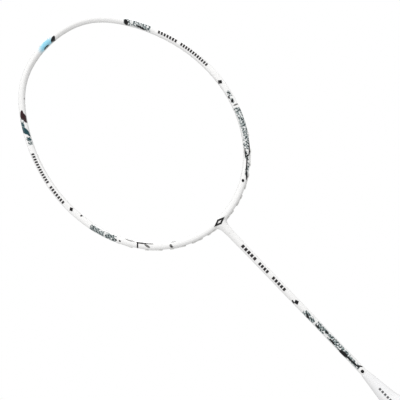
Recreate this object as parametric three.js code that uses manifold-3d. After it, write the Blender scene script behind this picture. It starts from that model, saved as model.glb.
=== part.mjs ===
// An unstrung badminton racket, in millimetres: a hollow carbon hoop on a slim tapered shaft, a plastic
// cone, an eight-sided wooden handle with a wrapped grip, and a twin grommet for each two string holes.
// +Z runs from the butt to the top of the head, X across the head, and Y out of its face. The origin is
// the centre of the butt's end face.
import * as THREE from "three";
import { mergeVertices } from "three/addons/utils/BufferGeometryUtils.js";
import Module from "manifold-3d";

const wasm = await Module();
wasm.setup();

// ---- Driving dimensions ----
const TOTAL_LENGTH = 675;
const HEAD_LENGTH = 253.4; // outside the hoop, top to throat
const HEAD_WIDTH = 201.7; // outside the hoop, across its middle
const HOOP_EGG = 0.055; // the oval is this share slimmer at the top, and fuller at the throat
const HOOP_SHOULDER = 0.21; // the share by which its shoulders are widened close to the top
const SHOULDER_POWER = 6; // how closely the widening keeps to the top
const HOOP_HALF_WIDTH = 3.3; // in the face's plane
const HOOP_HALF_DEPTH = 5.2; // out of the face's plane
const THROAT_SWELL = 0.07; // the hoop is this share wider at the throat, and narrower at the top
const GROOVE_DEPTH = 1.2;
const GROOVE_LEAST_DEPTH = 0.15; // round the throat, where the grommets stand proud
const GROOVE_FLOOR_HALF = 2.4;
const GROOVE_LIP_HALF = 2.9;

const SHAFT_RADIUS = 3.5;
const SHAFT_TOP_RADIUS = 3.8;
const SHAFT_BORE_RADIUS = 2.3;
const SHAFT_TAPER_START = 372;
const SHAFT_TAPER_END = 402;
const SHAFT_FOOT = 147; // the shaft's lower end, glued into the handle
const SOCKET_LENGTH = 12; // the throat's sleeve below the hoop
const SOCKET_RADIUS = 4.7;

const HANDLE_HALF_WIDTH = 11.4; // bare wood, across the head
const HANDLE_HALF_DEPTH = 10.1;
const HANDLE_BEVEL = 5.4;
const HANDLE_FOOT = 3.6;
const CONE_FOOT = 157;
const CONE_TOP = 221;
const CONE_TOP_RADIUS = 4;
const CONE_FLARE = 0.13; // radius gained for each millimetre down
const CONE_WALL = 1.3;
const CONE_LIP_WALL = 0.3; // where it thins out round the shaft
const GRIP_FOOT = 4.9;
const GRIP_TOP = 171;
const GRIP_OUTSIDE = 1.9; // the grip's outer face, out from the bare wood
const GRIP_UNDER_COLLAR = 1.4;
const CAP_TOP = 24;
const BADGE_RADIUS = 8.3;

const GROMMET_RADIUS = 1.4;
const GROMMET_BORE = 0.8;
const FLANGE_RADIUS = 2.2;
const FLANGE_THICKNESS = 0.9;
const GROMMET_PROUD = 0.8; // what each barrel stands out inside the hoop
const STRIP_HEIGHT = 0.5; // of the strip that joins two flanges, over their seat
const SEAT_GAP = 0.2; // under a flange
const GLUE_GAP = 0.3; // between glued neighbours

// String holes of one half of the hoop. Main strings cross it at these distances from the middle, and
// cross strings at these heights above and below the middle of the head.
const TOP_MAINS = [4, 12, 20, 28, 36, 44.3, 52.9, 61.8, 71];
const CROSSES = [78.5, 69, 59.5, 50, 40.8, 31.8, 22.8, 13.8, 4.6];
const LOWER_CROSSES = [4.6, 12.9, 21.2, 29.5, 37.8, 46, 54, 62];
const THROAT_MAINS = [83.5, 77.4, 67.8, 58.6, 50, 40, 31, 24, 15, 8.6];

const HOOP_SEGMENTS = 120;
const CAVITY_SEGMENTS = 60;
const HOLE_SIDES = 6;
const ROUND_SIDES = 24;

// ---- Derived sizes ----
const HOOP_A = HEAD_LENGTH / 2 - HOOP_HALF_WIDTH; // centreline half length
const HOOP_B = HEAD_WIDTH / 2 - HOOP_HALF_WIDTH; // centreline half width
const HOOP_MIDDLE = TOTAL_LENGTH - HOOP_HALF_WIDTH * (1 - THROAT_SWELL) - HOOP_A;
const THROAT_CENTRE = HOOP_MIDDLE - HOOP_A;
const THROAT_OUTSIDE = THROAT_CENTRE - HOOP_HALF_WIDTH * (1 + THROAT_SWELL);
const SOCKET_FOOT = THROAT_OUTSIDE - SOCKET_LENGTH;
const SHAFT_TOP = THROAT_OUTSIDE + 2;

// ---- Materials ----
function finish(color, roughness, metalness = 0) {
  return new THREE.MeshStandardMaterial({ color, roughness, metalness });
}

const whitePaint = finish(0xf6f5f3, 0.22);
const greyResin = finish(0x3a3c40, 0.6);
const whitePlastic = finish(0xf2f1f4, 0.3);
const palePlastic = finish(0xe9e9e6, 0.4);
const paleGrip = finish(0xe6e5e2, 0.75);
const bareWood = finish(0xc9a676, 0.65);
const blackVinyl = finish(0x24282a, 0.45);
const tealFoil = finish(0x3f6b72, 0.3, 0.6);
const steel = finish(0xb9bcc0, 0.3, 1);

// ---- Solids: three.js makes each shape, and manifold-3d joins and cuts them ----
function toSolid(geometry) {
  const bare = geometry.clone().deleteAttribute("normal").deleteAttribute("uv");
  const merged = mergeVertices(bare, 1e-4);
  const mesh = new wasm.Mesh({
    numProp: 3,
    vertProperties: merged.attributes.position.array,
    triVerts: new Uint32Array(merged.index.array),
  });
  return new wasm.Manifold(mesh);
}

function toGeometry(solid) {
  const { vertProperties, triVerts } = solid.getMesh();
  const geometry = new THREE.BufferGeometry();
  geometry.setAttribute("position", new THREE.BufferAttribute(vertProperties, 3));
  geometry.setIndex(new THREE.BufferAttribute(triVerts, 1));
  const flat = geometry.toNonIndexed();
  flat.computeVertexNormals();
  return flat;
}

const joined = (...geometries) => geometries.map(toSolid).reduce((sum, solid) => sum.add(solid));

// Moves every vertex of a geometry: change(point) edits the point it is given.
function reshape(geometry, change) {
  const positions = geometry.attributes.position;
  const point = new THREE.Vector3();
  for (let i = 0; i < positions.count; i += 1) {
    change(point.fromBufferAttribute(positions, i));
    positions.setXYZ(i, point.x, point.y, point.z);
  }
  geometry.computeVertexNormals();
  return geometry;
}

// A solid turned about Z, from [radius, height] points.
function turned(profile, sides = ROUND_SIDES) {
  const points = profile.map(([radius, height]) => new THREE.Vector2(radius, height));
  return new THREE.LatheGeometry(points, sides).rotateX(Math.PI / 2);
}

function block(width, depth, height, x, y, z) {
  return new THREE.BoxGeometry(width, depth, height).translate(x, y, z);
}

// ---- The hoop's oval: an ellipse, widened by a share that depends on the height ----
// Angles are the ellipse's own, from the top of the head towards +X, so a height is HOOP_A * cos(angle).
function halfWidth(angle) {
  const height = Math.cos(angle);
  return HOOP_B * (1 - HOOP_EGG * height + HOOP_SHOULDER * Math.max(height, 0) ** SHOULDER_POWER);
}

// A point of the centreline, as x and z from the middle of the head.
function hoopPoint(angle) {
  return new THREE.Vector2(halfWidth(angle) * Math.sin(angle), HOOP_A * Math.cos(angle));
}

// The angle that the outward normal leans from +Z.
function hoopLean(angle) {
  const step = 1e-4;
  const along = hoopPoint(angle + step).sub(hoopPoint(angle - step));
  return Math.atan2(-along.y, along.x);
}

const widthShare = (angle) => 1 - THROAT_SWELL * Math.cos(angle);

function grooveDepth(angle) {
  const share = THREE.MathUtils.smoothstep(Math.cos(angle), -0.75, -0.45);
  return THREE.MathUtils.lerp(GROOVE_LEAST_DEPTH, GROOVE_DEPTH, share);
}

// Bends a closed half-section, given as [offset out from the centreline, depth], right round the hoop.
// The points marked as floor follow the groove.
const BEND_RADIUS = 100; // of the round ring that is bent to the oval; any radius over the section will do
function hoopSweep(halfSection, segments, floorDepth = null) {
  const mirror = halfSection.map(([offset, depth]) => [offset, -depth]);
  const section = [...mirror, ...halfSection.toReversed()];
  const points = section.map(([offset, depth]) => new THREE.Vector2(BEND_RADIUS + offset, depth));
  points.push(points[0].clone());
  return reshape(new THREE.LatheGeometry(points, segments), (point) => {
    const angle = Math.atan2(point.x, point.z);
    const isFloor = floorDepth !== null && Math.abs(Math.abs(point.y) - floorDepth) < 1e-3;
    let offset = (Math.hypot(point.x, point.z) - BEND_RADIUS) * widthShare(angle);
    if (isFloor) offset = HOOP_HALF_WIDTH * widthShare(angle) - grooveDepth(angle);
    const centre = hoopPoint(angle);
    const lean = hoopLean(angle);
    point.set(centre.x + offset * Math.sin(lean), point.y, HOOP_MIDDLE + centre.y + offset * Math.cos(lean));
  });
}

const HOOP_SECTION = [
  [-HOOP_HALF_WIDTH, 1.5],
  [-2.4, 4.2],
  [0, HOOP_HALF_DEPTH],
  [2.6, 4.4],
  [HOOP_HALF_WIDTH, GROOVE_LIP_HALF],
  [HOOP_HALF_WIDTH - GROOVE_DEPTH, GROOVE_FLOOR_HALF],
];
// The hoop's hollow, drawn in from its walls by a margin that is 0 for the hollow itself.
const cavitySection = (margin) => [
  [-2.2 + margin, 1.2],
  [-1.5 + margin, 3.4 - margin],
  [0, 4.1 - margin],
  [1.1 - margin, 3.2 - margin],
];

// ---- String holes ----
// The angle at which the hoop passes a height, on the +X side.
const angleAtHeight = (z) => Math.acos(z / HOOP_A);

// The angle at which the hoop passes a distance from the middle, near the top (0) or the throat (PI).
function angleAtDistance(x, end) {
  let angle = end;
  for (let i = 0; i < 20; i += 1) angle = Math.abs(end - Math.asin(x / halfWidth(angle)));
  return angle;
}

// The holes of one side, in order from the top of the head to the throat.
function holesOfSide(side) {
  const angles = [
    ...TOP_MAINS.map((x) => angleAtDistance(x, 0)),
    ...CROSSES.map((z) => angleAtHeight(z)),
    ...LOWER_CROSSES.map((z) => angleAtHeight(-z)),
    ...THROAT_MAINS.map((x) => angleAtDistance(x, Math.PI)),
  ];
  return angles.map((angle) => ({
    angle: side * angle,
    place: hoopPoint(side * angle),
    lean: hoopLean(side * angle),
  }));
}

function drill({ place, lean }) {
  return new THREE.CylinderGeometry(GROMMET_RADIUS + GLUE_GAP, GROMMET_RADIUS + GLUE_GAP, 14, HOLE_SIDES)
    .rotateX(Math.PI / 2)
    .rotateY(lean)
    .translate(place.x, 0, HOOP_MIDDLE + place.y);
}

const drills = [...holesOfSide(1), ...holesOfSide(-1)].map(drill).map(toSolid);

// ---- Head ----
// The one-piece hoop: hollow, grooved outside, drilled for the strings, with the sleeve that takes the shaft.
function headFrame() {
  const sleeve = turned([
    [0, SOCKET_FOOT],
    [SOCKET_RADIUS - 0.3, SOCKET_FOOT],
    [SOCKET_RADIUS, SOCKET_FOOT + 4],
    [SOCKET_RADIUS + 0.1, THROAT_OUTSIDE - 3],
    [SOCKET_RADIUS + 0.6, THROAT_OUTSIDE + 2],
    [0, THROAT_OUTSIDE + 2],
  ]);
  const boreRadius = SHAFT_TOP_RADIUS + 0.15;
  const bore = turned([
    [0, SOCKET_FOOT - 1],
    [boreRadius, SOCKET_FOOT - 1],
    [boreRadius, THROAT_OUTSIDE + 3],
    [0, THROAT_OUTSIDE + 3],
  ]);
  const hoop = hoopSweep(HOOP_SECTION, HOOP_SEGMENTS, GROOVE_FLOOR_HALF);
  const hollow = hoopSweep(cavitySection(0), CAVITY_SEGMENTS);
  const body = joined(hoop, sleeve).subtract(toSolid(hollow)).subtract(toSolid(bore));
  return toGeometry(drills.reduce((rest, hole) => rest.subtract(hole), body));
}

// The moulded joint inside the throat: a bar in the hoop's hollow, and a stem down the shaft's bore.
function throatJoint() {
  const barHalfLength = 12;
  const stemRadius = SHAFT_BORE_RADIUS - GLUE_GAP;
  const ring = toSolid(hoopSweep(cavitySection(GLUE_GAP), CAVITY_SEGMENTS));
  const bar = ring.intersect(toSolid(block(2 * barHalfLength, 12, 12, 0, 0, THROAT_CENTRE)));
  const stem = turned([
    [0, SHAFT_TOP - 24],
    [stemRadius, SHAFT_TOP - 24],
    [stemRadius, THROAT_CENTRE],
    [0, THROAT_CENTRE],
  ]);
  return toGeometry(drills.reduce((rest, hole) => rest.subtract(hole), bar.add(toSolid(stem))));
}

// Two flanged barrels on one strip, in a frame of their own: +Z is out of the hoop, X along it.
function twinGrommet(holes, middle, lean) {
  const along = new THREE.Vector2(Math.cos(lean), -Math.sin(lean));
  const out = new THREE.Vector2(Math.sin(lean), Math.cos(lean));
  const barrels = [];
  const ends = [];
  for (const hole of holes) {
    const half = HOOP_HALF_WIDTH * widthShare(hole.angle);
    const seat = half - grooveDepth(hole.angle) + SEAT_GAP;
    const offset = hole.place.clone().sub(middle);
    const [x, z] = [offset.dot(along), offset.dot(out)];
    const profile = [
      [GROMMET_BORE, -half - GROMMET_PROUD],
      [GROMMET_RADIUS, -half - GROMMET_PROUD],
      [GROMMET_RADIUS, seat],
      [FLANGE_RADIUS, seat],
      [FLANGE_RADIUS - 0.2, seat + FLANGE_THICKNESS],
      [GROMMET_BORE, seat + FLANGE_THICKNESS],
      [GROMMET_BORE, -half - GROMMET_PROUD],
    ];
    const tilt = hole.lean - lean;
    const height = seat + STRIP_HEIGHT;
    barrels.push(turned(profile, HOLE_SIDES).rotateY(tilt).translate(x, 0, z));
    ends.push(new THREE.Vector2(x + height * Math.sin(tilt), z + height * Math.cos(tilt)));
  }
  const span = ends[1].clone().sub(ends[0]);
  const centre = ends[0].clone().add(ends[1]).divideScalar(2);
  const strip = block(span.length() - 2 * FLANGE_RADIUS + 1.4, 1.8, 0.5, 0, 0, 0)
    .rotateY(-Math.atan(span.y / span.x))
    .translate(centre.x, 0, centre.y);
  return toGeometry(joined(...barrels, strip));
}

function addTwinGrommets(parent) {
  for (const [sideName, side] of Object.entries({ right: 1, left: -1 })) {
    const holes = holesOfSide(side);
    for (let i = 0; i < holes.length; i += 2) {
      const pair = holes.slice(i, i + 2);
      const middle = pair[0].place.clone().add(pair[1].place).divideScalar(2);
      const lean = (pair[0].lean + pair[1].lean) / 2;
      const name = `grommet_${sideName}_${String(i / 2 + 1).padStart(2, "0")}`;
      const mesh = addPart(parent, name, twinGrommet(pair, middle, lean), palePlastic);
      mesh.position.set(middle.x, 0, middle.y);
      mesh.rotation.y = lean;
    }
  }
}

// ---- Shaft ----
function shaft() {
  return turned([
    [SHAFT_BORE_RADIUS, SHAFT_FOOT],
    [SHAFT_RADIUS, SHAFT_FOOT],
    [SHAFT_RADIUS, SHAFT_TAPER_START],
    [SHAFT_TOP_RADIUS, SHAFT_TAPER_END],
    [SHAFT_TOP_RADIUS, SHAFT_TOP],
    [SHAFT_BORE_RADIUS, SHAFT_TOP],
    [SHAFT_BORE_RADIUS, SHAFT_FOOT],
  ]);
}

// ---- Handle ----
// Turns an eight-sided solid from [offset out from the bare wood, height] points; null is the axis.
const AXIS = null;
const OCTAGON_RADIUS = 50; // of the round solid before it is pressed to the octagon
function eightSided(profile) {
  const points = profile.map(([offset, height]) => [offset === AXIS ? 0 : OCTAGON_RADIUS + offset, height]);
  const lathe = new THREE.LatheGeometry(
    points.map(([radius, height]) => new THREE.Vector2(radius, height)),
    8,
    Math.PI / 8,
  ).rotateX(Math.PI / 2);
  return reshape(lathe, (point) => {
    const radius = Math.hypot(point.x, point.y);
    if (radius < 1) return;
    const offset = radius - OCTAGON_RADIUS;
    const bevel = HANDLE_BEVEL + offset * (2 - Math.SQRT2);
    const isSideCorner = Math.abs(point.x) > Math.abs(point.y);
    const x = HANDLE_HALF_WIDTH + offset - (isSideCorner ? 0 : bevel);
    const y = HANDLE_HALF_DEPTH + offset - (isSideCorner ? bevel : 0);
    point.set(Math.sign(point.x) * x, Math.sign(point.y) * y, point.z);
  });
}

// The distance from the axis to the bare handle's face, in a direction from the axis.
function octagonReach(angle) {
  const [c, s] = [Math.abs(Math.cos(angle)), Math.abs(Math.sin(angle))];
  const bevelReach = HANDLE_HALF_WIDTH + HANDLE_HALF_DEPTH - HANDLE_BEVEL;
  return 1 / Math.max(c / HANDLE_HALF_WIDTH, s / HANDLE_HALF_DEPTH, (c + s) / bevelReach);
}

const BLEND_FOOT = GRIP_TOP + 2; // from here up to BLEND_TOP the cone turns from eight-sided to round
const BLEND_TOP = GRIP_TOP + 18;
// The plastic cone between the handle and the shaft.
function handleCone() {
  const { lerp, smoothstep } = THREE.MathUtils;
  const blendHeights = [0, 0.2, 0.4, 0.6, 0.8, 1].map((share) => lerp(BLEND_FOOT, BLEND_TOP, share));
  const profile = [
    [OCTAGON_RADIUS, CONE_FOOT],
    ...blendHeights.map((height) => [OCTAGON_RADIUS, height]),
    [OCTAGON_RADIUS, CONE_TOP - 1],
    [OCTAGON_RADIUS - CONE_LIP_WALL / 3, CONE_TOP],
    [OCTAGON_RADIUS - CONE_LIP_WALL, CONE_TOP],
    [OCTAGON_RADIUS - CONE_WALL, BLEND_TOP],
    [OCTAGON_RADIUS - CONE_WALL, CONE_FOOT],
    [OCTAGON_RADIUS, CONE_FOOT],
  ];
  return reshape(turned(profile, 32), (point) => {
    const offset = Math.hypot(point.x, point.y) - OCTAGON_RADIUS;
    const angle = Math.atan2(point.y, point.x);
    const round = Math.min(CONE_TOP_RADIUS + CONE_FLARE * (CONE_TOP - point.z), HANDLE_HALF_WIDTH);
    const share = smoothstep(point.z, BLEND_FOOT, BLEND_TOP);
    const radius = offset + lerp(octagonReach(angle), round, share);
    point.set(radius * Math.cos(angle), radius * Math.sin(angle), point.z);
  });
}

// A staple pins the grip's first turn. The same shape, grown by a gap, is its slot in the wood.
const STAPLE_HEIGHT = 36;
function staple(gap) {
  const face = -HANDLE_HALF_DEPTH + 0.1; // its crown lies just under the wood's front face
  const crown = block(8 + 2 * gap, 0.5 + 2 * gap, 0.7 + 2 * gap, 0, face + 0.25, STAPLE_HEIGHT);
  const legs = [-3.65, 3.65].map((x) =>
    block(0.7 + 2 * gap, 5 + 2 * gap, 0.7 + 2 * gap, x, face + 2.5, STAPLE_HEIGHT),
  );
  return joined(crown, ...legs);
}

// The wooden handle: an eight-sided bar with a turned nose inside the cone, bored for the shaft.
function handleCore() {
  const bar = eightSided([
    [AXIS, HANDLE_FOOT],
    [0, HANDLE_FOOT],
    [0, CONE_FOOT - GLUE_GAP],
    [AXIS, CONE_FOOT - GLUE_GAP],
  ]);
  const noseRadius = 8;
  const noseTop = CONE_FOOT + 37;
  const nose = turned([
    [0, CONE_FOOT - 2],
    [noseRadius, CONE_FOOT - 2],
    [noseRadius, CONE_FOOT],
    [noseRadius - 2.6, noseTop],
    [0, noseTop],
  ]);
  const boreRadius = SHAFT_RADIUS + GLUE_GAP;
  const bore = turned([
    [0, HANDLE_FOOT - 1],
    [boreRadius, HANDLE_FOOT - 1],
    [boreRadius, noseTop + 1],
    [0, noseTop + 1],
  ]);
  return toGeometry(joined(bar, nose).subtract(toSolid(bore)).subtract(staple(0.2)));
}

// The cap flares under the grip and ends in a rim flush with it. Its end face has a seat for the badge.
function buttCap() {
  const outside = eightSided([
    [AXIS, 0],
    [3.5, 0],
    [4.4, 0.9],
    [4.4, GRIP_FOOT - GLUE_GAP],
    [2.6, GRIP_FOOT - GLUE_GAP],
    [0.9, CAP_TOP],
    [AXIS, CAP_TOP],
  ]);
  const pocket = eightSided([
    [AXIS, HANDLE_FOOT - 0.4],
    [GLUE_GAP, HANDLE_FOOT - 0.4],
    [GLUE_GAP, CAP_TOP + 1],
    [AXIS, CAP_TOP + 1],
  ]);
  const seat = turned([
    [0, -1],
    [BADGE_RADIUS + GLUE_GAP, -1],
    [BADGE_RADIUS + GLUE_GAP, 0.9],
    [0, 0.9],
  ]);
  return toGeometry(toSolid(outside).subtract(toSolid(pocket)).subtract(toSolid(seat)));
}

function buttBadge() {
  return turned([
    [0, 0.1],
    [BADGE_RADIUS, 0.1],
    [BADGE_RADIUS, 0.7],
    [0, 0.7],
  ]);
}

const COLLAR_FOOT = GRIP_TOP - 11;
// The wrapped grip as one sleeve: straight on the handle, flared over the cap, thinner under its collar.
function grip() {
  return eightSided([
    [4.4, GRIP_FOOT],
    [2.7, CAP_TOP],
    [GRIP_OUTSIDE, CAP_TOP + 6],
    [GRIP_OUTSIDE, COLLAR_FOOT - 1],
    [GRIP_UNDER_COLLAR, COLLAR_FOOT - 0.6],
    [GRIP_UNDER_COLLAR, GRIP_TOP],
    [GLUE_GAP, GRIP_TOP],
    [GLUE_GAP, CAP_TOP + 2],
    [0.9 + GLUE_GAP, CAP_TOP + GLUE_GAP],
    [2.6 + GLUE_GAP, GRIP_FOOT],
    [4.4, GRIP_FOOT],
  ]);
}

// The tape that ends the grip, wound over its last turn.
function gripCollar() {
  const inner = GRIP_UNDER_COLLAR + GLUE_GAP;
  const outer = GRIP_OUTSIDE + 0.4;
  const [foot, top] = [COLLAR_FOOT, GRIP_TOP + 1.5];
  return eightSided([
    [inner, foot],
    [outer, foot],
    [outer, top],
    [inner, top],
    [inner, foot],
  ]);
}

// ---- Assembly ----
function addPart(parent, name, geometry, material) {
  const mesh = new THREE.Mesh(geometry, material);
  mesh.name = name;
  parent.add(mesh);
  return mesh;
}

const racket = new THREE.Group();
addPart(racket, "head_frame", headFrame(), whitePaint);
addPart(racket, "throat_joint", throatJoint(), greyResin);
addPart(racket, "shaft", shaft(), whitePaint);
addPart(racket, "handle_cone", handleCone(), whitePlastic);
addPart(racket, "handle_core", handleCore(), bareWood);
addPart(racket, "butt_cap", buttCap(), whitePlastic);
addPart(racket, "butt_badge", buttBadge(), tealFoil);
addPart(racket, "grip", grip(), paleGrip);
addPart(racket, "grip_collar", gripCollar(), blackVinyl);
addPart(racket, "grip_staple", toGeometry(staple(0)), steel);

const grommets = new THREE.Group();
grommets.position.z = HOOP_MIDDLE;
racket.add(grommets);
addTwinGrommets(grommets);

export default racket;
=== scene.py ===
"""An unstrung badminton racket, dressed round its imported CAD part.

Metres. +Z runs up the shaft from the butt to the top of the head, X across the head, and -Y out of its
front face.
"""

import math

import bmesh
import bpy
import numpy as np
from mathutils import Matrix, Vector


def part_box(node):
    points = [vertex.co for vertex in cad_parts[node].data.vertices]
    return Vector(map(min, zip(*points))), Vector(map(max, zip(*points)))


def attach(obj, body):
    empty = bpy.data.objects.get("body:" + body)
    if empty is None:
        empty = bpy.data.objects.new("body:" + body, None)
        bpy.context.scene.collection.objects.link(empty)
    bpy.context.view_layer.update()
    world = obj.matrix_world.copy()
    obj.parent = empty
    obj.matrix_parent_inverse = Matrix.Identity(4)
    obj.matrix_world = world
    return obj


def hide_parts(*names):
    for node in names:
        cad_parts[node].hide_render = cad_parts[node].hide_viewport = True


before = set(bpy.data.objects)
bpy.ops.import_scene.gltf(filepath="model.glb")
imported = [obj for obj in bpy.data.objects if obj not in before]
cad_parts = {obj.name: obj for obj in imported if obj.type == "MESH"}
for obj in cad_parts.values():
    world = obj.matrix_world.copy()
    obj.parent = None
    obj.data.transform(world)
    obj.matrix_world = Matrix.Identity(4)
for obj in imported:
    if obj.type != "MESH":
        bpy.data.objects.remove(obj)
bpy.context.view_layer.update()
MM = 0.001

# ---- Sizes of the part, from the CAD nodes' boxes and its own driving dimensions ----
head_low, head_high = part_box("head_frame")
shaft_low, shaft_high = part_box("shaft")
cone_low, cone_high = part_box("handle_cone")
_, core_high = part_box("handle_core")
grip_low, grip_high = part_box("grip")
collar_low, collar_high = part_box("grip_collar")
cap_low, cap_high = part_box("butt_cap")
badge_low, badge_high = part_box("butt_badge")

HOOP_HALF_WIDTH = 3.3 * MM
HEAD_HALF_WIDTH = 100.85 * MM  # outside the hoop, across its middle
HOOP_EGG = 0.055
HOOP_SHOULDER = 0.21
SHOULDER_POWER = 6
THROAT_SWELL = 0.07
SOCKET_LENGTH = 12 * MM
SHAFT_RADIUS = 3.5 * MM
SHAFT_TOP_RADIUS = 3.8 * MM
SHAFT_BORE_RADIUS = 2.3 * MM
GROOVE_DEPTH = 1.2 * MM
GROOVE_LEAST_DEPTH = 0.15 * MM
HOOP_SECTION_POWER = 2.6  # how square the tube's section is: 2 would be an ellipse
HOOP_STATIONS = 720  # sections round the hoop
DRILL_RADIUS = 1.5 * MM
DRILL_LENGTH = 10 * MM
hoop_half_depth = head_high.y
throat_outside = head_low.z + SOCKET_LENGTH
hoop_a = (head_high.z - throat_outside) / 2 - HOOP_HALF_WIDTH
hoop_b = HEAD_HALF_WIDTH - HOOP_HALF_WIDTH
hoop_middle = head_high.z - HOOP_HALF_WIDTH * (1 - THROAT_SWELL) - hoop_a
throat_centre = hoop_middle - hoop_a

# String holes of one half of the hoop: mains by distance from the middle, crosses by height from it.
TOP_MAINS = [4, 12, 20, 28, 36, 44.3, 52.9, 61.8, 71]
CROSSES = [78.5, 69, 59.5, 50, 40.8, 31.8, 22.8, 13.8, 4.6]
LOWER_CROSSES = [4.6, 12.9, 21.2, 29.5, 37.8, 46, 54, 62]
THROAT_MAINS = [83.5, 77.4, 67.8, 58.6, 50, 40, 31, 24, 15, 8.6]


# ---- Mesh helpers ----
def smoothstep(x, low, high):
    t = np.clip((np.asarray(x, float) - low) / (high - low), 0, 1)
    return t * t * (3 - 2 * t)


def new_object(name, mesh, sharp_angle=40):
    mesh.validate()
    mesh.update()
    piece = bpy.data.objects.new(name, mesh)
    bpy.context.scene.collection.objects.link(piece)
    shade(piece, sharp_angle)
    return piece


def shade(piece, sharp_angle=40):
    """Smooth shading, except across edges sharper than the angle, in degrees."""
    mesh = piece.data
    mesh.polygons.foreach_set("use_smooth", [True] * len(mesh.polygons))
    mesh.set_sharp_from_angle(angle=math.radians(sharp_angle))
    mesh.update()


def grid_mesh(name, rings, closed_ends=False):
    """A closed surface through rings of points, rings[i][j]. Each ring is a loop. The last ring meets the
    first, or with closed_ends each end ring is filled."""
    count, size = len(rings), len(rings[0])
    points = np.asarray(rings, float).reshape(-1, 3)
    faces = []
    last = count - 1 if closed_ends else count
    for i in range(last):
        k = (i + 1) % count
        for j in range(size):
            m = (j + 1) % size
            faces.append((i * size + j, i * size + m, k * size + m, k * size + j))
    if closed_ends:
        faces.append(tuple(reversed(range(size))))
        faces.append(tuple(range((count - 1) * size, count * size)))
    mesh = bpy.data.meshes.new(name)
    mesh.from_pydata(points.tolist(), [], faces)
    outward(mesh)
    return mesh


def outward(mesh):
    work = bmesh.new()
    work.from_mesh(mesh)
    bmesh.ops.recalc_face_normals(work, faces=work.faces)
    work.to_mesh(mesh)
    work.free()


def angles_round(sides):
    return np.linspace(0, 2 * math.pi, sides, endpoint=False)


def level_ring(angles, reach, height):
    """A level loop round Z. Its reach is one radius, or one for each angle."""
    return np.stack([reach * np.cos(angles), reach * np.sin(angles), np.full(len(angles), height)], axis=1)


def turned_mesh(name, profile, sides, closed_ends=False):
    """A surface turned about Z from (radius, height) points. They make a closed loop, or with closed_ends
    the two ends are filled."""
    angles = angles_round(sides)
    rings = [level_ring(angles, radius, height) for radius, height in profile]
    return grid_mesh(name, rings, closed_ends)


def boolean(piece, cutter, operation):
    """Joins or cuts piece with cutter, whose mesh is used up."""
    modifier = piece.modifiers.new("cut", "BOOLEAN")
    modifier.operation = operation
    modifier.solver = "EXACT"
    modifier.object = cutter
    graph = bpy.context.evaluated_depsgraph_get()
    result = bpy.data.meshes.new_from_object(piece.evaluated_get(graph), depsgraph=graph)
    piece.modifiers.clear()
    piece.data = result
    bpy.data.objects.remove(cutter)
    shade(piece)


# ---- The hoop's oval: an ellipse, widened by a share that depends on the height. Angles are the ellipse's
# own, from the top of the head towards +X ----
def half_width(angle):
    height = np.cos(angle)
    return hoop_b * (1 - HOOP_EGG * height + HOOP_SHOULDER * np.maximum(height, 0) ** SHOULDER_POWER)


def hoop_point(angle):
    """x and z of the centreline, from the middle of the head."""
    return half_width(angle) * np.sin(angle), hoop_a * np.cos(angle)


def hoop_lean(angle):
    """The angle that the outward normal leans from +Z."""
    step = 1e-4
    x1, z1 = hoop_point(angle + step)
    x0, z0 = hoop_point(angle - step)
    return np.arctan2(z0 - z1, x1 - x0)


def width_share(angle):
    return 1 - THROAT_SWELL * np.cos(angle)


def groove_depth(angle):
    share = smoothstep(np.cos(angle), -0.75, -0.45)
    return GROOVE_LEAST_DEPTH + (GROOVE_DEPTH - GROOVE_LEAST_DEPTH) * share


def even_angles(count):
    """Angles of points spaced evenly along the hoop, from the throat round by -X."""
    fine = np.linspace(-math.pi, math.pi, 6001)
    x, z = hoop_point(fine)
    length = np.concatenate([[0], np.cumsum(np.hypot(np.diff(x), np.diff(z)))])
    return np.interp(np.linspace(0, length[-1], count, endpoint=False), length, fine)


def hoop_section():
    """Points round the tube: offset out from the centreline, depth, and the groove's share at each. The
    outer wall has closer points, for the groove."""
    power = HOOP_SECTION_POWER
    wall_reach, lip, floor_edge = 3.6 * MM, 2.95 * MM, 2.35 * MM
    outer_depths = np.linspace(-wall_reach, wall_reach, 33)
    outer = HOOP_HALF_WIDTH * (1 - np.abs(outer_depths / hoop_half_depth) ** power) ** (1 / power)
    groove = smoothstep(-np.abs(outer_depths), -lip, -floor_edge)
    start = math.asin((wall_reach / hoop_half_depth) ** (power / 2))
    theta = np.linspace(start, 2 * math.pi - start, 42)[1:-1]
    around_offset = HOOP_HALF_WIDTH * np.sign(np.cos(theta)) * np.abs(np.cos(theta)) ** (2 / power)
    around_depth = hoop_half_depth * np.sign(np.sin(theta)) * np.abs(np.sin(theta)) ** (2 / power)
    offset = np.concatenate([outer, around_offset])
    depth = np.concatenate([outer_depths, around_depth])
    return offset, depth, np.concatenate([groove, np.zeros(len(theta))])


def hoop_mesh():
    offset, depth, groove = hoop_section()
    rings = []
    for angle in even_angles(HOOP_STATIONS):
        x, z = hoop_point(angle)
        lean = hoop_lean(angle)
        out = offset * width_share(angle) - groove * groove_depth(angle)
        rings.append(np.stack([x + out * np.sin(lean), depth, hoop_middle + z + out * np.cos(lean)], axis=1))
    return grid_mesh("hoop", rings)


# ---- String holes and their grommets ----
def angle_at_height(z):
    return math.acos(z / hoop_a)


def angle_at_distance(x, end):
    """Where the hoop passes a distance from the middle, near the top (end 0) or the throat (end pi)."""
    angle = end
    for _ in range(20):
        angle = abs(end - math.asin(x / half_width(angle)))
    return angle


def holes_of_side(side):
    angles = [angle_at_distance(x * MM, 0) for x in TOP_MAINS]
    angles += [angle_at_height(z * MM) for z in CROSSES]
    angles += [angle_at_height(-z * MM) for z in LOWER_CROSSES]
    angles += [angle_at_distance(x * MM, math.pi) for x in THROAT_MAINS]
    holes = []
    for angle in angles:
        x, z = hoop_point(side * angle)
        lean = hoop_lean(side * angle)
        holes.append({"x": float(x), "z": float(z), "angle": side * angle, "lean": float(lean)})
    return holes


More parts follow.
